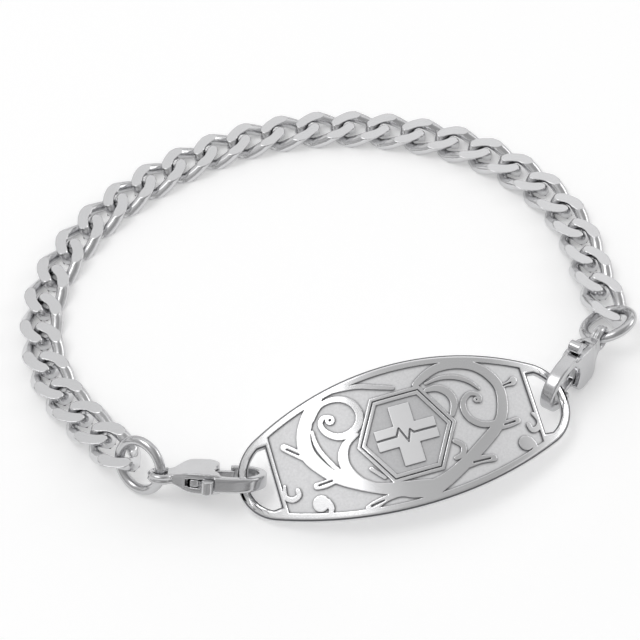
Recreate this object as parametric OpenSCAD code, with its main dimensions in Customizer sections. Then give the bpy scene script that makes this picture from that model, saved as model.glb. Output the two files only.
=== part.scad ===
// Medical alert bracelet in stainless steel: a curved oval plate with a slot at each end,
// held by two lobster clasps on jump rings to a ground curb chain. It lies flat, +Z up,
// with the origin on the table under the middle of its box.

/* [Plate] */
// Length of the plate, straight across its bend
plate_len = 42.9; // [40:0.1:45]
// Width of the plate
plate_w = 18.3; // [17:0.1:20]
// Thickness of the plate at its rim
plate_t = 1.3; // [1.1:0.05:1.5]
// Radius of the bend that follows the wrist, at half the thickness
bend_r = 48; // [42:0.5:60]
// Radius of the outline at the plate's two ends
tip_r = 5.8; // [5.2:0.1:6.6]
// Width of the raised rim along the long sides
rim_w = 1; // [0.8:0.05:1.4]
// Width of the bar that closes each slot
bar_w = 1.3; // [1.1:0.05:1.5]
// Distance from the plate's middle to the straight edge of each slot
slot_x = 17; // [16:0.1:18]
// Width of each slot across the plate
slot_w = 7.7; // [6.5:0.1:8.5]

/* [Relief] */
// Height of the rim and the scrolls above the ground
relief_h = 0.22; // [0.1:0.02:0.35]
// Distance across the corners of the six-sided frame
frame_w = 12.6; // [11:0.1:13.5]
// Width of the frame's outer band
frame_band = 0.35; // [0.2:0.05:0.6]
// Width of the groove between the band and the inner ridge
frame_groove = 0.2; // [0.15:0.05:0.4]
// Width of the frame's inner ridge
frame_ridge = 0.4; // [0.2:0.05:0.6]
// Length of each bar of the plain cross, end to end
cross_w = 7.6; // [5:0.1:8.4]
// Width of the cross's bars
cross_bar = 2.6; // [1.6:0.1:3.2]
// Width of the pulse line's groove on the cross
pulse_w = 0.3; // [0.2:0.05:0.5]

/* [Chain] */
// Number of curb links
link_count = 28; // [28:1:28]
// Thickness of the chain's wire
link_wire = 1.8; // [1.6:0.05:1.85]
// Width of a link
link_w = 6.1; // [5.6:0.05:6.5]
// Thickness of the ground chain
link_t = 2; // [1.8:0.05:2.2]
// Turn of each end of a link against its middle, in degrees
link_twist = 52; // [48:1:54]
// Play between two links along the chain
link_play = 0.26; // [0.2:0.02:0.3]

/* [Jump rings] */
// Thickness of a jump ring's wire
ring_wire = 1.3; // [1.1:0.05:1.4]
// Outer diameter of a jump ring
ring_d = 7.8; // [7.2:0.1:8.2]

/* [Clasps] */
// Length of a clasp from its eye to the end of its hook
clasp_len = 14.9; // [14:0.1:16]
// Height of the palm above the clasp's middle line
palm_h = 3.4; // [3:0.1:3.8]
// Depth of the shoulder below the clasp's middle line
shoulder_h = 3; // [2.7:0.1:3.3]
// Thickness of the clasp's body
clasp_t = 2.6; // [2.4:0.05:3]
// Outer diameter of the eye
eye_d = 3.7; // [3.5:0.1:4]
// Diameter of the hole in the eye
eye_bore = 2.1; // [1.9:0.05:2.3]
// Thickness of the eye
eye_t = 1.3; // [1:0.05:1.6]
// Width of the hook's arm where it leaves the shoulder
arm_w = 1.2; // [1.1:0.05:1.4]
// Thickness of the hook's arm
arm_t = 1.9; // [1.6:0.05:2.2]
// Thickness of the lever in the body's slot
lever_t = 0.9; // [0.7:0.05:1.1]
// Diameter of the trigger's knob
knob_d = 1.5; // [1.3:0.05:1.7]
// Length of the trigger's knob across the clasp
knob_t = 1.6; // [1.4:0.05:2]
// Diameter of the lever's pin
pin_d = 0.9; // [0.7:0.05:1.1]

/* [Clearances] */
// Radial play of the lever on its pin
pin_play = 0.04; // [0.02:0.01:0.08]
// Play on each side of the lever in its slot
slot_play = 0.08; // [0.05:0.01:0.15]
// Gap between the gate and the hook's tip
gate_play = 0.08; // [0.05:0.01:0.15]

/* [Hidden] */
// Turn of the lever from shut to open, and the slot's room past it, in degrees
lever_open = 22;
swing_room = 2;
lever_swing = lever_open + swing_room;

// Middle of the plate's two end bars: along and across in hundredths of the plate's
// length, up in hundredths of the palm's height. Then the plate's lean, rise and turn
bars_at = [20.016, -56.955, 69];
plate_turn = [20.3, -1.94, 10.6];

// Each clasp's turn, its place along the plate's end bar in hundredths of the slot's
// width, and where the bar lies in the clasp's opening, in hundredths of the clasp's
// length and of the palm's height
left_turn = [-37.03, 7.24, -4.73];
left_hold = 19.11;
left_seat = [78.86, 13.51];
right_turn = [-84.61, -3.64, -131.21];
right_hold = 20.15;
right_seat = [79.74, 5.07];

// Each jump ring's heading from the eye to the chain, its dip and its lean, and its place
// through the eye in hundredths of the eye's thickness
left_ring = [142.61, 6.75, -60.92];
left_ring_up = 9.77;
right_ring = [63.82, 14.95, 153.21];
right_ring_up = 21.05;

// The chain's ends by the rings, in hundredths of the ring's wire: how far each ring lies
// in from the end of its link, to the side of the chain, and above the link's middle
left_in = [10.6, -17.8, 21.6];
right_in = [-1, 41.7, 7.2];
// Rise of the next joints as shares of the rise at the ring, and the roll of the links
// there, in degrees
left_rise = [100, 75, 41, 16, 4];
left_roll = [-2.4, -1];
right_rise = [100, 116, 54, 12];
right_roll = [-10.2, -4.9, -1.8];

// The chain's way round the wrist, in hundredths of the distance between its two ends:
// along the line from the left end to the right one, then to its left side
route = [
    [-7.96, 23.73], [-4.48, 44.94], [10.07, 60.78], [30.32, 69.35], [52.01, 70.82],
    [72.72, 64.1], [91.36, 49.76], [101.24, 28.57], [99.21, 5.77],
];
steel = [0.80, 0.80, 0.81];
satin_steel = [0.70, 0.70, 0.71];

function two(k) = str(k < 10 ? "0" : "", k);
function link_name(k) = str("link_", two(k));

// Plain vector and curve helpers
function turn_x(p, a) = [p[0], p[1]*cos(a) - p[2]*sin(a), p[1]*sin(a) + p[2]*cos(a)];
function turn_y(p, a) = [p[0]*cos(a) + p[2]*sin(a), p[1], p[2]*cos(a) - p[0]*sin(a)];
function turn_z(p, a) = [p[0]*cos(a) - p[1]*sin(a), p[0]*sin(a) + p[1]*cos(a), p[2]];
function turned(p, t) = turn_z(turn_y(turn_x(p, t[0]), t[1]), t[2]);
function unit(v) = v / norm(v);
function through(p, i, s) =
    let (a = p[max(i - 1, 0)], b = p[i], c = p[i + 1], d = p[min(i + 2, len(p) - 1)])
    0.5*((2*b) + (c - a)*s + (2*a - 5*b + 4*c - d)*s*s + (3*b - a - 3*c + d)*s*s*s);
function smooth(p, n) = concat(
    [for (i = [0:len(p) - 2], k = [0:n - 1]) through(p, i, k/n)],
    [p[len(p) - 1]]);

// Plate outline: two end arcs and two long side arcs that meet them smoothly
half_len = plate_len/2;
half_w = plate_w/2;
side_r = (pow(half_len - tip_r, 2) + half_w*half_w - tip_r*tip_r) / (2*(half_w - tip_r));
tip_x = half_len - tip_r;
meet_x = side_r*tip_x/(side_r - tip_r);

module oval(inset) {
    for (side = [-1, 1]) translate([side*tip_x, 0]) circle(r = tip_r - inset, $fn = 96);
    intersection() {
        square([2*meet_x*(1 - inset/side_r), plate_w], center = true);
        translate([0, half_w - side_r]) circle(r = side_r - inset, $fn = 360);
        translate([0, side_r - half_w]) circle(r = side_r - inset, $fn = 360);
    }
}

module bent_layer(low, high) {
    translate([0, 0, -bend_r]) rotate([90, 0, 0]) difference() {
        cylinder(r = bend_r + high, h = 2*plate_w, center = true, $fn = 360);
        cylinder(r = bend_r + low, h = 3*plate_w, center = true, $fn = 360);
    }
}

module upright(h = plate_len/2) {
    translate([0, 0, -h/2]) linear_extrude(height = h) children();
}

// The slots: straight inside edges, and the plate's own round ends set in by the bar
module slots_flat() {
    intersection() {
        oval(bar_w);
        for (side = [-1, 1])
            translate([side*(slot_x + half_len)/2, 0])
                square([half_len - slot_x, slot_w], center = true);
    }
}

// Scroll strokes in shares of the plate: hundredths of half its length, of half its
// width, and the stroke's width in hundredths of half the plate's width
scrolls = [
    // left stem, from the rim down to the foot under the frame
    [[-43, 82, 14], [-51, 62, 17], [-56.5, 38, 19], [-57, 13, 20], [-52, -10, 17],
     [-45, -30, 14], [-35.5, -46, 13], [-23, -61, 14], [-9, -71, 20], [4, -80, 26]],
    // line beside the left stem
    [[-51, 40, 4], [-51, 24, 6], [-48.5, 4, 6], [-41.5, -26, 6], [-32, -50, 3]],
    // left spiral
    [[-49, 55, 4], [-43.5, 70, 6], [-37, 74, 7], [-30, 71, 8], [-24.5, 60, 9],
     [-22.5, 44, 10], [-25.5, 29, 10], [-31.5, 22, 10], [-38, 23, 9], [-43.5, 33, 8],
     [-45.5, 46, 7], [-43, 54, 6], [-39.5, 53, 5]],
    // leaves of the left stem
    [[-60, 12, 9], [-65, 24, 10], [-69, 33, 9]],
    [[-45, -31, 9], [-52, -33, 10], [-57, -32, 9]],
    [[3, -87, 5], [-6, -81, 9], [-13, -76, 6], [-21.5, -76, 8], [-28.5, -80, 11],
     [-32.5, -82, 9]],
    // crescent between the left stem and the frame
    [[-27, 18, 4], [-34.5, 10, 10], [-38.5, -7, 14], [-37.5, -26, 13], [-32, -45, 10],
     [-22, -60, 6]],
    // bud below the crescent
    [[-31, -3, 4], [-28, -18, 5], [-28, -26, 8]],
    [[-25, -32, 5], [-19, -49, 4]],
    // arcs above the frame
    [[-26.5, 73, 3], [-19, 72, 5], [-9, 67, 3]],
    [[-36, 85, 4], [-20.5, 82, 6], [-10, 74, 6], [0, 66, 5]],
    // right stem, from the foot up the right side and over to the frame
    [[6, -80, 22], [17, -71, 17], [30, -55, 15], [42, -37, 15], [52, -20, 14],
     [58, 0, 14], [60.5, 29, 13], [57, 51, 13], [49.5, 68, 12], [39, 76.5, 11],
     [28, 77.5, 11], [19, 70, 10], [13, 62, 8]],
    // line inside the right arch
    [[19, 60, 3], [28, 63, 5], [37, 59, 6], [44, 49, 5], [48.5, 36, 3]],
    // right spiral
    [[54, -13, 5], [48.5, -15, 7], [43, -12, 8], [38, -2, 8], [36, 11, 8], [37, 24, 7],
     [41.5, 32, 6], [45.5, 30, 5], [47.5, 24, 4], [46.5, 19, 4]],
    // buds and leaves of the right stem
    [[61, 33, 5], [65, 34, 5], [69, 36, 10]],
    [[53, -21, 9], [58.5, -20, 10], [64.5, -18, 9]],
    [[29, -62, 8], [36, -59, 10], [44, -61, 9]],
    // arcs beside the frame on the right
    [[18, 51, 5], [25, 50, 9], [30.5, 39, 10], [31.5, 24, 9], [28.5, 10, 6]],
    [[25, -26, 5], [29, -35, 7], [27.5, -46, 7], [23, -49, 5]],
    // corner hooks
    [[-74.5, -18, 4], [-75.5, -32, 6], [-72, -39, 7], [-68, -36, 7], [-68, -29, 6]],
    [[75, -13, 4], [77.5, -25, 6], [75, -34, 7], [71.5, -35, 7], [70.5, -27, 6]],
    // tails of the corner drops
    [[-54, -57, 10], [-52.5, -67, 8], [-55.5, -77, 3]],
    [[68, -48, 9], [70, -58, 7], [66.5, -67, 2]],
];
// Round spots in the same shares: eyes of the spirals, ends of buds and corner drops
spots = [
    [-39.5, 48, 13], [45, 22, 8], [-28, -28, 10], [70, 38, 10],
    [-57.5, -56, 22], [65.5, -51, 20],
];
// Narrow cuts in the leaves and round ones in the eyes, in the same shares
leaf_cuts = [
    [[-62, 17, 3], [-67.5, 29, 3]],
    [[-48, -31.5, 3], [-55.5, -32, 3]],
    [[-23, -77.5, 2.5], [-30.5, -80, 3.5]],
    [[63, 33.5, 2.5], [68, 35.5, 3]],
    [[56.5, -20, 3], [63, -18.5, 3]],
    [[32, -60.5, 3], [42, -60.5, 3]],
];
eye_cuts = [[-39.5, 48, 4], [-28, -28, 3.5], [45, 22, 3]];
// Places along a stroke between two of its points
stroke_steps = 3;
// The relief's outlines grow by this, so that strokes that touch make one shape
relief_grow = plate_w/1830;
// Half the frame's height, as a share of half its width across the corners
hex_apothem = cos(30);

function on_plate(p) = [p[0]*half_len/100, p[1]*half_w/100];
function stroke_half(p) = p[2]*half_w/200;
function beside(p, i, side) =
    let (a = on_plate(p[max(i - 1, 0)]), b = on_plate(p[min(i + 1, len(p) - 1)]),
         t = unit(b - a))
    on_plate(p[i]) + side*stroke_half(p[i])*[-t[1], t[0]];

module ribbon(points) {
    p = smooth(points, stroke_steps);
    last = len(p) - 1;
    polygon(concat([for (i = [0:last]) beside(p, i, 1)],
                   [for (i = [last:-1:0]) beside(p, i, -1)]));
    for (i = [0, last]) translate(on_plate(p[i])) circle(r = stroke_half(p[i]), $fn = 12);
}

module six_sided(inset) {
    circle(r = frame_w/2 - inset/hex_apothem, $fn = 6);
}

module pulse_line() {
    arm = cross_w/2;
    beat = cross_bar*0.36;
    p = [[-arm, 0], [-arm*0.34, 0], [-arm*0.2, beat], [0, -beat], [arm*0.14, beat*0.5],
         [arm*0.24, 0], [arm, 0]];
    for (i = [0:len(p) - 2]) hull() {
        translate(p[i]) circle(d = pulse_w, $fn = 8);
        translate(p[i + 1]) circle(d = pulse_w, $fn = 8);
    }
}

module plain_cross() {
    difference() {
        union() {
            square([cross_w, cross_bar], center = true);
            square([cross_bar, cross_w], center = true);
        }
        pulse_line();
    }
}

module relief_flat() {
    ridge_at = frame_band + frame_groove;
    offset(delta = relief_grow) {
        difference() {
            union() {
                for (stroke = scrolls) ribbon(stroke);
                for (s = spots) translate(on_plate(s)) circle(r = stroke_half(s), $fn = 20);
            }
            six_sided(0);
            for (stroke = leaf_cuts) ribbon(stroke);
            for (s = eye_cuts) translate(on_plate(s)) circle(r = stroke_half(s), $fn = 12);
        }
        difference() {
            six_sided(0);
            six_sided(frame_band);
        }
        difference() {
            six_sided(ridge_at);
            six_sided(ridge_at + frame_ridge);
        }
        plain_cross();
    }
}

// The ground is cut down between the rim, the scrolls and the frame
module ground() {
    ground_x = slot_x - bar_w/2;
    difference() {
        intersection() {
            upright() intersection() {
                oval(rim_w);
                square([2*ground_x, plate_w], center = true);
            }
            bent_layer(plate_t/2 - relief_h, plate_t);
        }
        upright() relief_flat();
    }
}

// The plate's middle stands over the end bars by the height of its bend
function sink(x) = sqrt(bend_r*bend_r - x*x) - bend_r;
plate_at = [bars_at[0]*plate_len/100, bars_at[1]*plate_len/100, bars_at[2]*palm_h/100]
    - turned([0, 0, sink(half_len - bar_w/2)], plate_turn);

module id_plate() {
    color(steel) translate(plate_at) rotate(plate_turn) difference() {
        intersection() {
            upright() oval(0);
            bent_layer(-plate_t/2, plate_t/2);
        }
        upright() slots_flat();
        ground();
    }
}

// A point of the plate's middle surface, and a point of an end bar's middle line
function plate_point(x, y) = plate_at + turned([x, y, sink(x)], plate_turn);
function bar_point(side, hold) =
    let (y = hold*slot_w/100)
    plate_point(side*(tip_x + sqrt(pow(tip_r - bar_w/2, 2) - y*y)), y);

// Curb link: a racetrack of round wire, its ends twisted, then ground flat on both faces
link_gap = link_wire + link_play;
track_w = link_w - link_wire;
bend_steps = 6;
side_steps = 2;
wire_sides = 6;

// Places and outward directions round one link, for the twisted middle line of its wire
function track_straight(straight, side) = [
    for (k = [1:side_steps - 1])
        [side*straight*(1 - 2*k/side_steps), side*track_w/2, 0, side]];
function track_arc(straight, side) = [
    for (k = [0:bend_steps])
        let (a = 90 - 180*k/bend_steps)
        [side*(straight + track_w/2*cos(a)), side*track_w/2*sin(a), side*cos(a), side*sin(a)]];
function track(straight) = concat(
    track_arc(straight, 1), track_straight(straight, -1),
    track_arc(straight, -1), track_straight(straight, 1));

module curb_link(pitch) {
    middle_len = pitch + link_gap;
    flat = track((middle_len - track_w)/2);
    n = len(flat);
    lean = function (x) -link_twist*2*x/middle_len;
    path = [for (s = flat) turn_x([s[0], s[1], 0], lean(s[0]))];
    out = [for (s = flat) turn_x([s[2], s[3], 0], lean(s[0]))];
    across = [for (i = [0:n - 1])
        unit(cross(path[(i + 1) % n] - path[(i + n - 1) % n], out[i]))];
    points = [for (i = [0:n - 1], k = [0:wire_sides - 1])
        let (a = 360*(k + 0.5)/wire_sides)
        path[i] + link_wire/2*(cos(a)*out[i] + sin(a)*across[i])];
    faces = [for (i = [0:n - 1], k = [0:wire_sides - 1])
        let (i2 = (i + 1) % n, k2 = (k + 1) % wire_sides)
        [i*wire_sides + k, i2*wire_sides + k, i2*wire_sides + k2, i*wire_sides + k2]];
    intersection() {
        polyhedron(points, faces);
        cube([3*middle_len, 3*link_w, link_t], center = true);
    }
}

// Clasp outline of palm, neck and shoulder, in shares: hundredths of the clasp's length
// along it, then hundredths of the palm's height or the shoulder's depth
palm_line = [
    [17, 30], [22, 52], [28, 78], [36, 97], [43, 102], [50, 98], [56, 89], [59.5, 76],
    [60, 64],
];
palm_face = [[59, 50], [56.5, 26], [55.5, 0]];
shoulder_face = [[56.5, -30], [60, -50]];
shoulder_line = [
    [61, -90], [54, -90], [44, -84], [34, -73], [26, -54], [17, -30],
];
// Middle line of the hook's arm in the same shares, with its width in hundredths
arm_line = [
    [56, -77, 110], [64, -80, 100], [75, -79, 96], [85.5, -64, 92], [93, -32, 90],
    [96, 8, 88], [93, 45, 86], [84.5, 67, 84], [76, 71, 82], [69, 70, 78],
];
hole_x = eye_d/2;
pin_at = [clasp_len*0.42, palm_h*0.06];
arm_steps = 6;
// Section of the arm: a flat-sided band with broken corners, in shares of half its size
band_x = 0.66;
band_y = 0.74;
band = [
    [1, band_y], [0.94, 0.9], [band_x, 1], [-band_x, 1], [-0.94, 0.9], [-1, band_y],
    [-1, -band_y], [-0.94, -0.9], [-band_x, -1], [band_x, -1], [0.94, -0.9], [1, -band_y],
];
arm_sides = len(band);

function on_clasp(p) =
    [p[0]*clasp_len/100, p[1]*(p[1] > 0 ? palm_h : shoulder_h)/100];

module body_outline() {
    corners = concat(smooth(palm_line, 3), smooth(palm_face, 3), smooth(shoulder_face, 2),
                     smooth(shoulder_line, 3));
    polygon([for (p = corners) on_clasp(p)]);
}

// Seen from the side, the body is thickest at the palm and thins towards eye and arm:
// hundredths of the clasp's length, then hundredths of the way up to the body's thickness
eye_side = [[0, 0], [20, 0], [24, 12], [28, 42], [32, 74], [37, 95], [43, 100]];
arm_side = [[51, 100], [55, 94], [59, 72], [63, 34], [67, 8], [72, 0]];

module side_outline() {
    up = concat(
        [for (p = smooth(eye_side, 3)) [p[0]*clasp_len, p[1]*(clasp_t - eye_t) + 100*eye_t]],
        [for (p = smooth(arm_side, 3)) [p[0]*clasp_len, p[1]*(clasp_t - arm_t) + 100*arm_t]]);
    last = len(up) - 1;
    polygon(concat([for (p = up) [p[0]/100, p[1]/200]],
                   [for (i = [last:-1:0]) [up[i][0]/100, -up[i][1]/200]]));
}

module arm() {
    p = smooth(arm_line, arm_steps);
    last = len(p) - 1;
    path = [for (q = p) let (m = on_clasp(q)) [m[0], m[1], 0]];
    points = [for (i = [0:last], k = [0:arm_sides - 1])
        let (t = unit(path[min(i + 1, last)] - path[max(i - 1, 0)]),
             out = [t[1], -t[0], 0],
             c = band[k],
             w = arm_w*p[i][2]/100)
        path[i] + w/2*c[0]*out + [0, 0, arm_t*(0.4 + 0.6*p[i][2]/100)/2*c[1]]];
    ring = [for (k = [0:arm_sides - 1]) k];
    walls = [for (i = [0:last - 1], k = ring)
        let (k2 = (k + 1) % arm_sides)
        [i*arm_sides + k, i*arm_sides + k2, (i + 1)*arm_sides + k2, (i + 1)*arm_sides + k]];
    polyhedron(points, concat(
        [[for (k = ring) arm_sides - 1 - k]],
        walls,
        [[for (k = ring) last*arm_sides + k]]));
}

// The eye: a ring with a shallow groove round it, its corners broken for the jump ring
module eye() {
    inner = eye_bore/2;
    outer = eye_d/2;
    c = eye_t/4;
    translate([hole_x, 0]) rotate_extrude($fn = 48) polygon([
        [inner, -eye_t/2 + c], [inner + c, -eye_t/2], [outer - c, -eye_t/2],
        [outer, -eye_t/2 + c], [outer - c/2, 0], [outer, eye_t/2 - c], [outer - c, eye_t/2],
        [inner + c, eye_t/2], [inner, eye_t/2 - c]]);
}

// Outline of the lever: hub, trigger down to the knob, and gate out to the hook's tip
hub_r = pin_d*1.28;
// The trigger's tail behind the knob, which fills the slot while the lever is shut
tail_r = shoulder_h*0.86;
tail_turn = 40;
fan_steps = 8;
knob_at = [clasp_len*0.505, -shoulder_h - knob_d*0.37];
tip_in = on_clasp(arm_line[len(arm_line) - 1])[1] - arm_w*arm_line[len(arm_line) - 1][2]/200;
gate_w = arm_w*0.62;
gate_root = [clasp_len*0.57, tip_in - gate_play - gate_w*0.4];
gate_end = [clasp_len*0.705, tip_in - gate_play - gate_w/2];

module lever_arm(a, da, b, db) {
    t = unit(b - a);
    out = [-t[1], t[0]];
    polygon([a + out*da/2, b + out*db/2, b - out*db/2, a - out*da/2]);
    translate(b) circle(d = db, $fn = 32);
}

module lever_outline(grow = 0) {
    translate(pin_at) circle(r = hub_r + grow, $fn = 48);
    swing_fan(knob_at, tail_turn, tail_r + grow);
    lever_arm(pin_at, 2*hub_r + 2*grow, knob_at, knob_d*0.8 + 2*grow);
    lever_arm(pin_at, 2*hub_r + 2*grow, gate_root, gate_w + 2*grow);
    lever_arm(gate_root, gate_w + 2*grow, gate_end, gate_w + 2*grow);
}

// A fan round the pin from one point's direction back through a part of the swing
module swing_fan(p, swing, reach) {
    a = atan2(p[1] - pin_at[1], p[0] - pin_at[0]);
    polygon(concat([pin_at],
        [for (k = [0:fan_steps]) let (b = a - swing*k/fan_steps) pin_at + reach*[cos(b), sin(b)]]));
}

// The slot is as wide as the lever with its play, over the lever's whole swing
module lever_slot() {
    upright(lever_t + 2*slot_play) {
        lever_outline(slot_play);
        translate(pin_at) rotate(-lever_swing) translate(-pin_at) lever_outline(slot_play);
        swing_fan(knob_at, lever_swing, shoulder_h*1.6);
        swing_fan(knob_at, tail_turn + lever_swing + swing_room, tail_r + slot_play);
        swing_fan(gate_root, lever_swing, clasp_len*0.25);
    }
}

module clasp_body() {
    difference() {
        union() {
            intersection() {
                upright(clasp_t) body_outline();
                rotate([90, 0, 0]) upright(3*palm_h) side_outline();
                translate([clasp_len/2, palm_h*0.06, 0]) rotate([0, 90, 0])
                    cylinder(r = palm_h*0.97, h = 2*clasp_len, center = true, $fn = 96);
            }
            arm();
            eye();
        }
        lever_slot();
        translate(pin_at) cylinder(d = pin_d, h = 2*clasp_t, center = true, $fn = 48);
    }
}

module clasp_lever() {
    difference() {
        union() {
            upright(lever_t) lever_outline();
            translate(knob_at) cylinder(d = knob_d, h = knob_t, center = true, $fn = 48);
        }
        translate(pin_at)
            cylinder(d = pin_d + 2*pin_play, h = 2*clasp_t, center = true, $fn = 48);
    }
}

module lever_pin() {
    translate(pin_at) cylinder(d = pin_d, h = clasp_t*0.9, center = true, $fn = 48);
}

// Each clasp hangs on its end of the plate, the end bar in its opening
function seat_at(p) = [p[0]*clasp_len/100, p[1]*palm_h/100, 0];
module on_left() {
    translate(bar_point(-1, left_hold)) rotate(left_turn) translate(-seat_at(left_seat))
        children();
}
module on_right() {
    translate(bar_point(1, right_hold)) rotate(right_turn) translate(-seat_at(right_seat))
        children();
}

// A jump ring's wire passes through the clasp's eye and through the chain's last link
ring_r = (ring_d - ring_wire)/2;
ring_back = (eye_bore - ring_wire)/4;
function in_eye(side, hold, t, seat, up) =
    bar_point(side, hold) + turned([hole_x - ring_back, 0, up*eye_t/100] - seat_at(seat), t);
left_eye = in_eye(-1, left_hold, left_turn, left_seat, left_ring_up);
right_eye = in_eye(1, right_hold, right_turn, right_seat, right_ring_up);
function ring_way(h) = [cos(h[1])*cos(h[0]), cos(h[1])*sin(h[0]), -sin(h[1])];
left_hook = left_eye + 2*ring_r*ring_way(left_ring);
right_hook = right_eye + 2*ring_r*ring_way(right_ring);

module jump_ring(eye_at, h) {
    translate(eye_at + ring_r*ring_way(h)) rotate([0, h[1], h[0]]) rotate([h[2], 0, 0])
        rotate_extrude($fn = 96) translate([ring_r, 0]) circle(d = ring_wire, $fn = 32);
}

// The chain's way is a smooth curve from ring to ring, cut into equal links
function flat2(p) = [p[0], p[1]];
function left_of(v) = [-v[1], v[0]];
span = flat2(right_hook) - flat2(left_hook);
function on_span(p) = flat2(left_hook) + p[0]/100*span + p[1]/100*left_of(span);
function way_end(hook, next, in) =
    let (t = unit(next - flat2(hook)))
    flat2(hook) - (ring_wire/2 + in[0]*ring_wire/100)*t + in[1]*ring_wire/100*left_of(t);
last_bend = len(route) - 1;
bends = [for (p = route) on_span(p)];
way = smooth(concat([way_end(left_hook, bends[0], left_in)], bends,
                    [way_end(right_hook, bends[last_bend], right_in)]), 12);
way_steps = [for (i = [1:len(way) - 1]) norm(way[i] - way[i - 1])];
function total(v, i = 0) = i < len(v) ? v[i] + total(v, i + 1) : 0;
function sums(v, i = 0, s = 0) = i < len(v) ? concat([s], sums(v, i + 1, s + v[i])) : [s];
way_sums = sums(way_steps);
way_len = total(way_steps);
pitch = way_len/link_count;
function way_x(s) = lookup(s, [for (i = [0:len(way) - 1]) [way_sums[i], way[i][0]]]);
function way_y(s) = lookup(s, [for (i = [0:len(way) - 1]) [way_sums[i], way[i][1]]]);
function joint_at(k) = [way_x(k*pitch), way_y(k*pitch)];

// By the rings the chain climbs from the table: rise of a joint, roll and slope of a link
function share_at(v, i) = i < len(v) ? v[i] : 0;
function end_rise(hook, in) = max(0, hook[2] - in[2]*ring_wire/100 - link_t/2);
function rise_at(k) =
    share_at(left_rise, k)/100*end_rise(left_hook, left_in)
        + share_at(right_rise, link_count - k)/100*end_rise(right_hook, right_in);
function roll_of(k) = share_at(left_roll, k - 1) + share_at(right_roll, link_count - k);
function slope_of(k) = atan2(rise_at(k - 1) - rise_at(k), pitch);
function lying_at(k) =
    let (half = (pitch + link_gap + link_wire)/2)
    link_t/2*cos(slope_of(k))*cos(roll_of(k))
        + half*abs(sin(slope_of(k))) + link_w/4*abs(sin(roll_of(k)));

module chain_link(k) {
    a = joint_at(k - 1);
    b = joint_at(k);
    middle = (a + b)/2;
    height = max(lying_at(k), link_t/2 + (rise_at(k - 1) + rise_at(k))/2);
    color(satin_steel)
        translate([middle[0], middle[1], height])
            rotate([roll_of(k), slope_of(k), atan2(b[1] - a[1], b[0] - a[0])])
                curb_link(pitch);
}

module jump_ring_left() {
    color(steel) jump_ring(left_eye, left_ring);
}
module jump_ring_right() {
    color(steel) jump_ring(right_eye, right_ring);
}
module clasp_body_left() {
    color(steel) on_left() clasp_body();
}
module clasp_body_right() {
    color(steel) on_right() clasp_body();
}
module clasp_lever_left() {
    color(steel) on_left() clasp_lever();
}
module clasp_lever_right() {
    color(steel) on_right() clasp_lever();
}
module lever_pin_left() {
    color(satin_steel) on_left() lever_pin();
}
module lever_pin_right() {
    color(satin_steel) on_right() lever_pin();
}

id_plate();
jump_ring_left();
jump_ring_right();
clasp_body_left();
clasp_body_right();
clasp_lever_left();
clasp_lever_right();
lever_pin_left();
lever_pin_right();
for (k = [1:link_count])
    chain_link(k);
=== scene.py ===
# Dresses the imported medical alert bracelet: smooth curb links, rings, clasps and plate in steel
import bpy
import bmesh
import math
import numpy as np
from mathutils import Euler, Matrix, Vector


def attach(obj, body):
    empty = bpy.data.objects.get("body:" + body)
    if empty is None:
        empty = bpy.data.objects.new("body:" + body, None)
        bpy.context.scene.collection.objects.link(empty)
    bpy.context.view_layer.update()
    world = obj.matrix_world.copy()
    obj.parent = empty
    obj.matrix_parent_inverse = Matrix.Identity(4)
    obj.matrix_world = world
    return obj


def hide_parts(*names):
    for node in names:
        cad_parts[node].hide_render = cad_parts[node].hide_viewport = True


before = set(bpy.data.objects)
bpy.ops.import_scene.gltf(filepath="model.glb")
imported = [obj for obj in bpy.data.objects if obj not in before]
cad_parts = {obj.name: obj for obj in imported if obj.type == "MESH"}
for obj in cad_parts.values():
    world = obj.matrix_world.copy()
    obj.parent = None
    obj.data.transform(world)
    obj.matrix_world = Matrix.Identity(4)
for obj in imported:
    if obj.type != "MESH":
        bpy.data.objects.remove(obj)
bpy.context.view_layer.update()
mm = 0.001
linkCount = 28


# small helpers for picking and finishing, all lengths in millimetres
def deselectAll():
    if bpy.context.object and bpy.context.object.mode != "OBJECT":
        bpy.ops.object.mode_set(mode="OBJECT")
    bpy.ops.object.select_all(action="DESELECT")


def makeActive(piece):
    deselectAll()
    piece.select_set(True)
    bpy.context.view_layer.objects.active = piece


def newest(name):
    piece = bpy.context.active_object
    piece.name = name
    piece.data.name = name
    return piece


def pickVerts(piece, test):
    makeActive(piece)
    bpy.ops.object.mode_set(mode="EDIT")
    bpy.ops.mesh.select_mode(type="VERT")
    bpy.ops.mesh.select_all(action="DESELECT")
    edit = bmesh.from_edit_mesh(piece.data)
    for v in edit.verts:
        v.select_set(test(v.co))
    edit.select_flush_mode()
    bmesh.update_edit_mesh(piece.data)


def pickEdges(piece, test):
    makeActive(piece)
    bpy.ops.object.mode_set(mode="EDIT")
    bpy.ops.mesh.select_mode(type="EDGE")
    bpy.ops.mesh.select_all(action="DESELECT")
    edit = bmesh.from_edit_mesh(piece.data)
    for e in edit.edges:
        e.select_set(test(e))
    bmesh.update_edit_mesh(piece.data)


def leaveEdit():
    bpy.ops.object.mode_set(mode="OBJECT")


def applyModifier(piece, kind, **values):
    makeActive(piece)
    modifier = piece.modifiers.new(kind.title(), kind)
    for key, value in values.items():
        setattr(modifier, key, value)
    bpy.ops.object.modifier_apply(modifier=modifier.name)


def smoothByAngle(piece, degrees):
    makeActive(piece)
    bpy.ops.object.shade_smooth_by_angle(angle=math.radians(degrees))


def keepPlace(piece, name):
    # the piece's own coordinates stay with it as an attribute, for the finish to follow
    mesh = piece.data
    spots = np.empty(len(mesh.vertices) * 3)
    mesh.vertices.foreach_get("co", spots)
    layer = mesh.attributes.new(name, "FLOAT_VECTOR", "POINT")
    layer.data.foreach_set("vector", spots)


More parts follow.
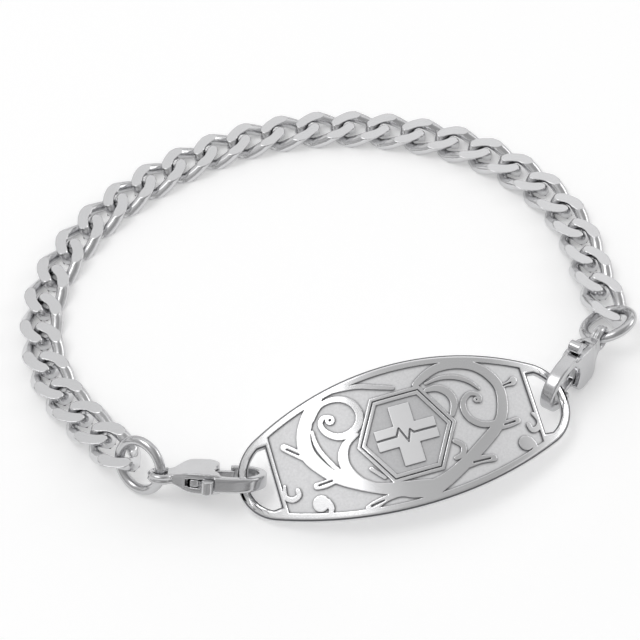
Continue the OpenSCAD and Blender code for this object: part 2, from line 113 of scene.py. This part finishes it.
def placedCopy(source, name, matrix, materials):
    # a copy with its own mesh, its place in the mesh and its object at the origin
    mesh = source.data.copy()
    mesh.name = name
    mesh.transform(Matrix.Scale(mm, 4) @ matrix)
    mesh.update()
    piece = bpy.data.objects.new(name, mesh)
    bpy.context.scene.collection.objects.link(piece)
    mesh.materials.clear()
    for material in materials:
        mesh.materials.append(material)
    return piece


def throwAway(piece):
    mesh = piece.data
    bpy.data.objects.remove(piece)
    bpy.data.meshes.remove(mesh)


def cadCopy(node, name, matrix):
    # a merged copy of a CAD node in the piece's own coordinates, in millimetres
    deselectAll()
    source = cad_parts[node]
    mesh = source.data.copy()
    mesh.transform(matrix.inverted() @ Matrix.Scale(1 / mm, 4))
    piece = bpy.data.objects.new(name, mesh)
    bpy.context.scene.collection.objects.link(piece)
    makeActive(piece)
    bpy.ops.object.mode_set(mode="EDIT")
    bpy.ops.mesh.select_all(action="SELECT")
    bpy.ops.mesh.remove_doubles(threshold=0.0005)
    leaveEdit()
    return piece


def turned(place, degrees):
    turn = Euler([math.radians(a) for a in degrees], "XYZ").to_matrix().to_4x4()
    return Matrix.Translation(Vector(place)) @ turn


# steel finishes
def nodeOf(tree, kind, **values):
    node = tree.nodes.new(kind)
    for key, value in values.items():
        setattr(node, key, value)
    return node


def steelBase(name, colour, roughness):
    material = bpy.data.materials.new(name)
    material.use_nodes = True
    tree = material.node_tree
    shader = tree.nodes["Principled BSDF"]
    shader.inputs["Base Color"].default_value = (*colour, 1)
    shader.inputs["Metallic"].default_value = 1.0
    shader.inputs["Roughness"].default_value = roughness
    return material, tree, shader


def ramp(tree, source, low, high, lowValue, highValue):
    node = nodeOf(tree, "ShaderNodeMapRange")
    node.inputs["From Min"].default_value = low
    node.inputs["From Max"].default_value = high
    node.inputs["To Min"].default_value = lowValue
    node.inputs["To Max"].default_value = highValue
    tree.links.new(source, node.inputs["Value"])
    return node.outputs["Result"]


def noise(tree, vector, scale, detail, roughness=0.5):
    node = nodeOf(tree, "ShaderNodeTexNoise")
    node.inputs["Scale"].default_value = scale
    node.inputs["Detail"].default_value = detail
    node.inputs["Roughness"].default_value = roughness
    tree.links.new(vector, node.inputs["Vector"])
    return node.outputs["Fac"]


def stretched(tree, vector, scale, turn=(0, 0, 0)):
    node = nodeOf(tree, "ShaderNodeMapping", vector_type="POINT")
    node.inputs["Scale"].default_value = scale
    node.inputs["Rotation"].default_value = [math.radians(a) for a in turn]
    tree.links.new(vector, node.inputs["Vector"])
    return node.outputs["Vector"]


def maths(tree, operation, a, b=None):
    node = nodeOf(tree, "ShaderNodeMath", operation=operation)
    for socket, value in zip(node.inputs, (a, b)):
        if value is None:
            continue
        if isinstance(value, (int, float)):
            socket.default_value = value
        else:
            tree.links.new(value, socket)
    return node.outputs["Value"]


def blend(tree, factor, a, b, kind="RGBA"):
    # two colours or two numbers in one mix, a colour may be a constant
    node = nodeOf(tree, "ShaderNodeMix", data_type=kind)
    first, out = (6, 2) if kind == "RGBA" else (2, 0)
    tree.links.new(factor, node.inputs[0])
    for socket, value in zip(node.inputs[first:first + 2], (a, b)):
        if isinstance(value, bpy.types.NodeSocket):
            tree.links.new(value, socket)
        else:
            socket.default_value = (*value, 1)
    return node.outputs[out]


def tinted(colour, share):
    return [c * share for c in colour]


def bumpOf(tree, height, strength, distance, normal=None):
    node = nodeOf(tree, "ShaderNodeBump")
    node.inputs["Strength"].default_value = strength
    node.inputs["Distance"].default_value = distance
    tree.links.new(height, node.inputs["Height"])
    if normal is not None:
        tree.links.new(normal, node.inputs["Normal"])
    return node.outputs["Normal"]


def polishedSteel(name, values):
    material, tree, shader = steelBase(name, values["colour"], values["roughness"])
    place = nodeOf(tree, "ShaderNodeTexCoord").outputs["Object"]
    cloud = noise(tree, place, values["cloudScale"], 3)
    drawn = stretched(tree, place, values["hairStretch"], values["hairTurn"])
    hair = noise(tree, drawn, values["hairScale"], 6, 0.7)
    least = values["roughness"]
    rough = maths(tree, "ADD",
                  ramp(tree, cloud, 0.3, 0.7, least, least + values["cloudRough"]),
                  ramp(tree, hair, 0.45, 0.75, 0.0, values["hairRough"]))
    tree.links.new(rough, shader.inputs["Roughness"])
    tint = blend(tree, cloud, values["colour"], tinted(values["colour"], values["cloudTint"]))
    tree.links.new(tint, shader.inputs["Base Color"])
    rounded = nodeOf(tree, "ShaderNodeBevel", samples=4)
    rounded.inputs["Radius"].default_value = values["edge"] * mm
    normal = bumpOf(tree, hair, values["hairBump"], values["hairHeight"] * mm, rounded.outputs["Normal"])
    tree.links.new(normal, shader.inputs["Normal"])
    return material


def groundSteel(name, values):
    # ground faces of the curb links: straight fine lines across the link, in its own place
    material, tree, shader = steelBase(name, values["colour"], values["roughness"])
    own = nodeOf(tree, "ShaderNodeAttribute", attribute_name="linkPlace").outputs["Vector"]
    drawn = stretched(tree, own, values["grainStretch"], values["grainTurn"])
    grain = noise(tree, drawn, values["grainScale"], 5, 0.65)
    cloud = noise(tree, own, values["cloudScale"], 2)
    rough = maths(tree, "ADD",
                  ramp(tree, grain, 0.3, 0.7, *values["grainRough"]),
                  ramp(tree, cloud, 0.3, 0.7, *values["cloudRough"]))
    tree.links.new(rough, shader.inputs["Roughness"])
    tint = blend(tree, grain, values["colour"], tinted(values["colour"], values["grainTint"]))
    tree.links.new(tint, shader.inputs["Base Color"])
    normal = bumpOf(tree, grain, values["grainBump"], values["grainHeight"] * mm)
    tree.links.new(normal, shader.inputs["Normal"])
    return material


def sixSided(tree, parts, reach):
    # 1 inside the plate's six-sided frame, 0 outside: the largest of the distances to its three axes
    far = None
    for degrees in (30, 90, 150):
        turn = math.radians(degrees)
        one = maths(tree, "ABSOLUTE", maths(
            tree, "ADD", maths(tree, "MULTIPLY", parts.outputs["X"], math.cos(turn)),
            maths(tree, "MULTIPLY", parts.outputs["Y"], math.sin(turn))))
        far = one if far is None else maths(tree, "MAXIMUM", far, one)
    return maths(tree, "LESS_THAN", far, reach)


def plateSteel(name, values):
    # raised rim and scrolls are polished, the ground between them is fine satin; the relief's walls and the
    # ground at their feet are darkened as painted shade
    material, tree, shader = steelBase(name, values["colour"], values["roughness"])
    place = nodeOf(tree, "ShaderNodeAttribute", attribute_name="platePlace").outputs["Vector"]
    parts = nodeOf(tree, "ShaderNodeSeparateXYZ")
    tree.links.new(place, parts.inputs["Vector"])
    across = maths(tree, "MULTIPLY", parts.outputs["X"], parts.outputs["X"])
    up = maths(tree, "ADD", parts.outputs["Z"], values["bend"])
    reach = maths(tree, "SQRT", maths(tree, "ADD", across, maths(tree, "MULTIPLY", up, up)))
    top = values["bend"] + values["thick"] / 2

    def level(depth, span, low, high):
        # a ramp between two depths under the top, each a share of the relief or of the thickness
        start, end = values[span]
        return ramp(tree, reach, top - values[depth] * start, top - values[depth] * end, low, high)

    raised = level("relief", "raisedSpan", 0.0, 1.0)
    back = level("thick", "backSpan", 1.0, 0.0)
    grit = noise(tree, place, values["gritScale"], 4, 0.7)
    fine = noise(tree, stretched(tree, place, values["fineStretch"]), values["fineScale"], 4, 0.6)
    brush = noise(tree, stretched(tree, place, values["brushStretch"]), values["brushScale"], 6, 0.7)
    cloud = noise(tree, place, values["cloudScale"], 3)
    satin = ramp(tree, grit, 0.3, 0.7, *values["satin"])
    inner = sixSided(tree, parts, values["frameReach"])
    shine = maths(tree, "ADD",
                  ramp(tree, fine, 0.35, 0.7, *values["shine"]),
                  maths(tree, "MAXIMUM", ramp(tree, cloud, 0.3, 0.7, 0.0, values["cloudRough"]),
                        maths(tree, "MULTIPLY", inner, values["motifRough"])))
    front = blend(tree, raised, satin, shine, "FLOAT")
    brushed = ramp(tree, brush, 0.3, 0.7, *values["brushRough"])
    tree.links.new(blend(tree, back, front, brushed, "FLOAT"), shader.inputs["Roughness"])
    sunk = maths(tree, "SUBTRACT", 1.0, raised)
    speck = maths(tree, "MULTIPLY", sunk, ramp(tree, grit, 0.36, 0.64, 0.0, 1.0))
    tint = blend(tree, speck, values["colour"], values["groundColour"])
    # painted shade: the relief's walls, between foot and crest, are darkened towards a near black grey
    foot = level("relief", "footSpan", 0.0, 1.0)
    crest = level("relief", "crestSpan", 1.0, 0.0)
    paintedWallShade = maths(tree, "MULTIPLY", maths(tree, "MULTIPLY", foot, crest), values["wallShadeDepth"])
    shaded = blend(tree, paintedWallShade, tint, values["shadeAndFrameGrey"])
    # painted shade: sunk ground close to the relief is darkened where ambient occlusion finds it closed in
    corner = nodeOf(tree, "ShaderNodeAmbientOcclusion", samples=8)
    corner.inputs["Distance"].default_value = values["cornerShadeReach"] * mm
    cornerShadeAndFrameDark = ramp(tree, corner.outputs["AO"], 0.45, 0.95, values["cornerShadeDepth"], 0.0)
    # the sunk ground inside the six-sided frame is made darker too, with the same grey
    framed = maths(tree, "MULTIPLY", inner, values["frameDepth"])
    cornerShadeAndFrameDark = maths(tree, "MULTIPLY", maths(tree, "MAXIMUM", cornerShadeAndFrameDark, framed), sunk)
    tree.links.new(blend(tree, cornerShadeAndFrameDark, shaded, values["shadeAndFrameGrey"]), shader.inputs["Base Color"])
    motif = maths(tree, "MULTIPLY", maths(tree, "MULTIPLY", inner, raised), values["motifDull"])
    metal = maths(tree, "SUBTRACT", ramp(tree, raised, 0.0, 1.0, values["groundMetal"], 1.0), motif)
    tree.links.new(metal, shader.inputs["Metallic"])
    height = maths(tree, "ADD", maths(tree, "MULTIPLY", speck, values["speckHeight"]),
                   maths(tree, "MULTIPLY", back, brush))
    rounded = nodeOf(tree, "ShaderNodeBevel", samples=6)
    rounded.inputs["Radius"].default_value = values["edge"] * mm
    normal = bumpOf(tree, height, values["gritBump"], values["gritHeight"] * mm, rounded.outputs["Normal"])
    tree.links.new(normal, shader.inputs["Normal"])
    return material


polish = {"cloudRough": 0.08, "cloudTint": 0.94, "hairScale": 900.0, "hairStretch": (1, 7, 3),
          "hairTurn": (20, 10, 35), "hairRough": 0.06, "hairBump": 0.08, "hairHeight": 0.02}
finishes = {
    "plate": {
        "colour": (0.86, 0.86, 0.87), "groundColour": (0.78, 0.78, 0.79), "shadeAndFrameGrey": (0.09, 0.09, 0.1),
        "roughness": 0.13, "shine": (0.13, 0.2), "satin": (0.42, 0.56), "brushRough": (0.28, 0.42),
        "cloudRough": 0.04, "cloudScale": 0.22, "gritScale": 3.4, "gritBump": 0.2, "gritHeight": 0.04,
        "speckHeight": 0.8, "fineScale": 2.38, "fineStretch": (1.2, 9, 1),
        "brushScale": 2.6, "brushStretch": (0.35, 22, 1), "edge": 0.17,
        "wallShadeDepth": 0.95, "cornerShadeReach": 0.35, "cornerShadeDepth": 0.95, "groundMetal": 0.3,
        "frameReach": 4.5, "frameDepth": 0.26, "motifRough": 0.22, "motifDull": 0.5,
        "bend": 48.0, "thick": 1.3, "relief": 0.22, "raisedSpan": (0.75, 0.4), "footSpan": (0.97, 0.9),
        "crestSpan": (0.35, 0.1), "backSpan": (0.98, 0.9)},
    "polished": {**polish, "colour": (0.6, 0.6, 0.61), "roughness": 0.14, "cloudScale": 260.0, "edge": 0.05},
    "side": {**polish, "colour": (0.69, 0.69, 0.7), "roughness": 0.13, "cloudScale": 300.0, "edge": 0.03},
    "ground": {
        "colour": (0.62, 0.62, 0.63), "roughness": 0.3, "grainRough": (0.25, 0.37), "grainTint": 0.9,
        "grainScale": 2.2, "grainStretch": (1.2, 26, 1.2), "grainTurn": (0, 0, 12), "grainBump": 0.06,
        "grainHeight": 0.03, "cloudScale": 0.5, "cloudRough": (-0.02, 0.03)},
}
plateFinish = plateSteel("plateSteel", finishes["plate"])
polishedFinish = polishedSteel("polishedSteel", finishes["polished"])
sideFinish = polishedSteel("linkSideSteel", finishes["side"])
groundFinish = groundSteel("linkGroundSteel", finishes["ground"])
print("finishes made")


# curb links: a round wire pulled long, twisted, ground flat and its edges broken
linkValues = {"wire": 1.74, "width": 5.86, "thickness": 2.0, "twist": 52.0, "middle": 7.14,
              "edge": 0.1, "edgeSteps": 2, "segments": 40, "sides": 20, "straightCuts": 3, "smooth": 40,
              "near": 0.001, "flat": 0.999}


def makeLink(values):
    track = values["width"] - values["wire"]
    straight = (values["middle"] - track) / 2
    deselectAll()
    bpy.ops.mesh.primitive_torus_add(
        major_radius=track / 2, minor_radius=values["wire"] / 2,
        major_segments=values["segments"], minor_segments=values["sides"])
    piece = newest("curbLink")
    for side in (-1, 1):
        pickVerts(piece, lambda p: side * p.x > 0.01)
        bpy.ops.transform.translate(value=(side * straight, 0, 0))
    pickEdges(piece, lambda e: abs(e.verts[0].co.x - e.verts[1].co.x) > straight)
    bpy.ops.mesh.subdivide(number_cuts=values["straightCuts"])
    leaveEdit()
    whole = values["middle"] + values["wire"]
    applyModifier(piece, "SIMPLE_DEFORM", deform_method="TWIST", deform_axis="X",
                  angle=math.radians(-2 * values["twist"] * whole / values["middle"]))
    half = values["thickness"] / 2
    for side in (-1, 1):
        pickVerts(piece, lambda p: True)
        bpy.ops.mesh.bisect(plane_co=(0, 0, side * half), plane_no=(0, 0, side),
                            use_fill=True, clear_outer=True)
    pickEdges(piece, lambda e: all(abs(abs(v.co.z) - half) < values["near"] for v in e.verts)
              and len(e.link_faces) == 2
              and e.link_faces[0].normal.dot(e.link_faces[1].normal) < values["flat"])
    bpy.ops.mesh.bevel(offset=values["edge"], segments=values["edgeSteps"], profile=0.5, affect="EDGES")
    leaveEdit()
    for face in piece.data.polygons:
        ground = abs(abs(face.center.z) - half) < 10 * values["near"] and abs(face.normal.z) > values["flat"]
        face.material_index = 1 if ground else 0
    smoothByAngle(piece, values["smooth"])
    applyModifier(piece, "WEIGHTED_NORMAL", weight=100, keep_sharp=True)
    keepPlace(piece, "linkPlace")
    return piece


def nodeSpots(node):
    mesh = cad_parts[node].data
    spots = np.empty(len(mesh.vertices) * 3)
    mesh.vertices.foreach_get("co", spots)
    return np.unique(np.round(spots.reshape(-1, 3) / mm, 4), axis=0)


def linkFrames():
    # each link lies where its CAD node does: middle, long way, and the way up
    names = ["link_%02d" % k for k in range(1, linkCount + 1)]
    clouds = [nodeSpots(name) for name in names]
    middles = [cloud.mean(0) for cloud in clouds]
    frames = []
    for k, cloud in enumerate(clouds):
        ways = np.linalg.eigh(np.cov((cloud - middles[k]).T))[1]
        along, up = ways[:, 2], ways[:, 0]
        travel = middles[min(k + 1, linkCount - 1)] - middles[max(k - 1, 0)]
        along = along * np.sign(along.dot(travel))
        up = up * np.sign(up[2])
        side = np.cross(up, along)
        matrix = Matrix.Identity(4)
        for row in range(3):
            matrix[row][0], matrix[row][1] = along[row], side[row]
            matrix[row][2], matrix[row][3] = up[row], middles[k][row]
        frames.append((names[k], matrix))
    return frames


linkPiece = makeLink(linkValues)
for name, matrix in linkFrames():
    piece = placedCopy(linkPiece, "curb_" + name, matrix, [sideFinish, groundFinish])
    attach(piece, "bracelet")
    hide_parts(name)
throwAway(linkPiece)
print("curb links made")


# jump rings: round wire with a soldered seam
ringValues = {
    "wire": 1.3, "outer": 7.8, "seamDepth": 0.05,
    "left": {"place": (-24.4293, -24.4075, 3.52138), "turn": (-60.92, 6.75, 142.61), "seam": 100},
    "right": {"place": (36.8166, -8.9264, 2.39605), "turn": (153.21, 14.95, 63.82), "seam": 250},
}


def makeRing(values, seam):
    middle = (values["outer"] - values["wire"]) / 2
    deselectAll()
    bpy.ops.mesh.primitive_torus_add(
        major_radius=middle, minor_radius=values["wire"] / 2, major_segments=120, minor_segments=24)
    piece = newest("jumpRing")
    at = Vector((math.cos(math.radians(seam)), math.sin(math.radians(seam)), 0)) * middle

    def atSeam(p):
        return abs(math.atan2(p.y * at.x - p.x * at.y, p.x * at.x + p.y * at.y)) < math.radians(1)

    pickVerts(piece, atSeam)
    shrink = 1 - 2 * values["seamDepth"] / values["wire"]
    bpy.ops.transform.resize(value=(shrink, shrink, shrink), center_override=at)
    leaveEdit()
    smoothByAngle(piece, 60)
    return piece


for side in ("left", "right"):
    one = ringValues[side]
    ringPiece = makeRing(ringValues, one["seam"])
    piece = placedCopy(ringPiece, "ring_" + side, turned(one["place"], one["turn"]), [polishedFinish])
    throwAway(ringPiece)
    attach(piece, "bracelet")
    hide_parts("jump_ring_" + side)
print("jump rings made")


# clasps: the CAD casting with its edges tumbled soft
claspValues = {
    "voxel": 0.07, "bodySmooth": 20, "leverSmooth": 8,
    "pin": (6.258, 0.204), "face": 1.3, "cap": 0.5, "capDepth": 0.22, "capSides": 48,
    "left": {"place": (-23.5153, -26.3076, 4.01073), "turn": (-37.03, 7.24, -4.73)},
    "right": {"place": (36.3101, -10.3272, 3.10406), "turn": (-84.61, -3.64, -131.21)},
}


def capPin(piece, values):
    # the riveted pin's ends are ground flush with the casting's two faces
    for side in (-1, 1):
        deselectAll()
        bpy.ops.mesh.primitive_cylinder_add(
            vertices=values["capSides"], radius=values["cap"], depth=values["capDepth"],
            location=(*values["pin"], side * (values["face"] - values["capDepth"] / 2)))
        cap = newest("pinCap")
        makeActive(piece)
        cap.select_set(True)
        bpy.ops.object.join()


def tumbled(node, name, matrix, values, rounds, capped):
    piece = cadCopy(node, name, matrix)
    if capped:
        capPin(piece, values)
    applyModifier(piece, "REMESH", mode="VOXEL", voxel_size=values["voxel"])
    applyModifier(piece, "SMOOTH", factor=0.5, iterations=rounds)
    smoothByAngle(piece, 180)
    return piece


leftClasp = turned(claspValues["left"]["place"], claspValues["left"]["turn"])
bodyPiece = tumbled("clasp_body_left", "claspBody", leftClasp, claspValues,
                    claspValues["bodySmooth"], True)
leverPiece = tumbled("clasp_lever_left", "claspLever", leftClasp, claspValues,
                     claspValues["leverSmooth"], False)
for side in ("left", "right"):
    matrix = turned(claspValues[side]["place"], claspValues[side]["turn"])
    body = placedCopy(bodyPiece, "casting_" + side, matrix, [polishedFinish])
    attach(body, "bracelet")
    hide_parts("clasp_body_" + side)
    lever = placedCopy(leverPiece, "trigger_" + side, matrix, [polishedFinish])
    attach(lever, "lever_" + side)
    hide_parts("clasp_lever_" + side)
    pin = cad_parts["lever_pin_" + side]
    pin.data.materials.clear()
    pin.data.materials.append(polishedFinish)
throwAway(bodyPiece)
throwAway(leverPiece)
print("clasps made")


# plate: the CAD relief, merged, smooth along its bend and rounded at its outline and slots
plateValues = {"place": (8.74146, -26.0781, 6.78978), "turn": (20.3, -1.94, 10.6), "angle": 35,
               "bend": 48.0, "tipX": 15.65, "tip": 5.8, "meetX": 18.0243, "side": 44.0306,
               "halfWidth": 9.15, "slotX": 17.0, "slotHalf": 3.85, "bar": 1.3, "near": 0.02,
               "round": 0.45, "roundSteps": 4}


def roundBend(piece, bend):
    # faces that follow the bend get the normals of the true curve
    mesh = piece.data
    normals = [tuple(corner.vector) for corner in mesh.corner_normals]
    for face in mesh.polygons:
        middle = Vector((face.center.x, 0, face.center.z + bend)).normalized()
        along = face.normal.dot(middle)
        if abs(along) > 0.996:
            for corner in face.loop_indices:
                at = mesh.vertices[mesh.loops[corner].vertex_index].co
                out = Vector((at.x, 0, at.z + bend)).normalized()
                normals[corner] = tuple(out if along > 0 else -out)
    mesh.normals_split_custom_set(normals)


def onOutline(values, p):
    # the plate's outer edge and the edges of its slots, seen from above
    near = values["near"]
    tip = math.hypot(abs(p.x) - values["tipX"], p.y)
    if abs(p.x) > values["meetX"] and abs(tip - values["tip"]) < near:
        return True
    if abs(math.hypot(p.x, abs(p.y) + values["side"] - values["halfWidth"]) - values["side"]) < near:
        return True
    if abs(p.x) < values["slotX"] - near or abs(p.y) > values["slotHalf"] + near:
        return False
    return (abs(tip - values["tip"] + values["bar"]) < near or abs(abs(p.x) - values["slotX"]) < near
            or abs(abs(p.y) - values["slotHalf"]) < near)


def roundOutline(piece, values):
    def sharp(e):
        return (len(e.link_faces) == 2 and e.link_faces[0].normal.dot(e.link_faces[1].normal) < 0.5
                and abs(e.verts[0].co.z - e.verts[1].co.z) < 0.5
                and all(onOutline(values, v.co) for v in e.verts))

    pickEdges(piece, sharp)
    bpy.ops.mesh.bevel(offset=values["round"], segments=values["roundSteps"], profile=0.5, affect="EDGES")
    leaveEdit()


plateMatrix = turned(plateValues["place"], plateValues["turn"])
plateCopy = cadCopy("id_plate", "plateCopy", plateMatrix)
roundOutline(plateCopy, plateValues)
smoothByAngle(plateCopy, plateValues["angle"])
roundBend(plateCopy, plateValues["bend"])
keepPlace(plateCopy, "platePlace")
platePiece = placedCopy(plateCopy, "oval_plate", plateMatrix, [plateFinish])
throwAway(plateCopy)
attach(platePiece, "bracelet")
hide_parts("id_plate")
print("plate made")


# studio: pale floor, soft lights and a grey surround for the steel to mirror
studioValues = {"floor": (0.93, 0.93, 0.93), "matt": 0.9, "sheen": 0.1, "glow": 0.22,
                "floorHalf": 3.0, "floorLevel": -0.00002}
bpy.ops.mesh.primitive_plane_add(size=2 * studioValues["floorHalf"],
                                 location=(0, 0, studioValues["floorLevel"]))
floor = newest("floor")
floorPaint = bpy.data.materials.new("palePaper")
floorPaint.use_nodes = True
paint = floorPaint.node_tree.nodes["Principled BSDF"]
paint.inputs["Base Color"].default_value = (*studioValues["floor"], 1)
paint.inputs["Roughness"].default_value = studioValues["matt"]
paint.inputs["Specular IOR Level"].default_value = studioValues["sheen"]
paint.inputs["Emission Color"].default_value = (1, 1, 1, 1)
paint.inputs["Emission Strength"].default_value = studioValues["glow"]
floor.data.materials.append(floorPaint)


def softLight(name, place, size, power):
    # an area light that faces the bracelet's middle
    data = bpy.data.lights.new(name, "AREA")
    data.shape = "RECTANGLE"
    data.size, data.size_y = size
    data.energy = power
    light = bpy.data.objects.new(name, data)
    bpy.context.scene.collection.objects.link(light)
    light.location = place
    light.rotation_euler = (-Vector(place)).to_track_quat("-Z", "Y").to_euler()


lightValues = {
    "topLight": {"place": (-0.38, 0.05, 0.86), "size": (0.45, 0.5), "power": 1.4},
    "sideLight": {"place": (0.85, 0.25, 0.42), "size": (0.5, 0.3), "power": 0.8},
}
for name, one in lightValues.items():
    softLight(name, one["place"], one["size"], one["power"])

# the room: low down a grey for each height, overhead a grey from left to right, and paler far off
roomValues = {
    "low": [(0.0, 0.5), (0.02, 0.06), (0.07, 0.08), (0.12, 0.95), (0.26, 1.1), (0.32, 0.4), (0.38, 0.35),
            (0.45, 0.95), (1.0, 0.95)],
    "overhead": [(0.0, 0.5), (0.1, 0.5), (0.17, 0.9), (0.34, 1.0), (0.46, 0.75), (0.54, 0.6),
                 (0.8, 0.5), (0.9, 0.9), (1.0, 0.95)],
    "far": (0.84, 1.0), "farSpan": (-0.25, 0.1), "farFrom": (0.25, 0.45),
    "overheadFrom": (0.45, 0.6), "strength": (0.6, 1.0), "strengthSpan": (-0.8, 0.4),
}


def greyRamp(tree, source, greys):
    node = nodeOf(tree, "ShaderNodeValToRGB")
    node.color_ramp.interpolation = "EASE"
    while len(node.color_ramp.elements) < len(greys):
        node.color_ramp.elements.new(0.5)
    for element, (at, grey) in zip(node.color_ramp.elements, greys):
        element.position = at
        element.color = (grey, grey, grey, 1)
    tree.links.new(source, node.inputs["Fac"])
    return node.outputs["Color"]


world = bpy.data.worlds.new("surround")
bpy.context.scene.world = world
world.use_nodes = True
tree = world.node_tree
background = tree.nodes["Background"]
way = nodeOf(tree, "ShaderNodeTexCoord").outputs["Generated"]
parts = nodeOf(tree, "ShaderNodeSeparateXYZ")
tree.links.new(way, parts.inputs["Vector"])
low = greyRamp(tree, parts.outputs["Z"], roomValues["low"])
overhead = greyRamp(tree, ramp(tree, parts.outputs["X"], -1.0, 1.0, 0.0, 1.0), roomValues["overhead"])
farShare = ramp(tree, parts.outputs["Y"], *roomValues["farFrom"], 0.0, 1.0)
farGrey = ramp(tree, parts.outputs["X"], *roomValues["farSpan"], *roomValues["far"])
overheadShare = ramp(tree, parts.outputs["Z"], *roomValues["overheadFrom"], 0.0, 1.0)
room = blend(tree, overheadShare, low, blend(tree, farShare, overhead, farGrey))
tree.links.new(room, background.inputs["Color"])
strength = ramp(tree, parts.outputs["Y"], *roomValues["strengthSpan"], *roomValues["strength"])
tree.links.new(strength, background.inputs["Strength"])
bpy.context.scene.view_settings.view_transform = "Standard"

# camera at the photograph's angle
cameraValues = {"down": 52.0, "roll": -5.67, "distance": 237.5, "lens": 99.97, "sensor": 36,
                "aim": (-0.39, -1.69, 0.0), "clip": (0.01, 20)}
down = math.radians(cameraValues["down"])
roll = math.radians(cameraValues["roll"])
ahead = Vector((0, math.cos(down), -math.sin(down)))
upright = Vector((0, math.sin(down), math.cos(down)))
across = Vector((1, 0, 0))
imageX = across * math.cos(roll) + upright * math.sin(roll)
imageY = upright * math.cos(roll) - across * math.sin(roll)
spot = (Vector(cameraValues["aim"]) - ahead * cameraValues["distance"]) * mm
cameraData = bpy.data.cameras.new("camera")
cameraData.lens = cameraValues["lens"]
cameraData.sensor_width = cameraValues["sensor"]
cameraData.clip_start, cameraData.clip_end = cameraValues["clip"]
camera = bpy.data.objects.new("camera", cameraData)
bpy.context.scene.collection.objects.link(camera)
camera.matrix_world = Matrix((
    (imageX.x, imageY.x, -ahead.x, spot.x),
    (imageX.y, imageY.y, -ahead.y, spot.y),
    (imageX.z, imageY.z, -ahead.z, spot.z),
    (0, 0, 0, 1)))
bpy.context.scene.camera = camera
print("studio and camera set")
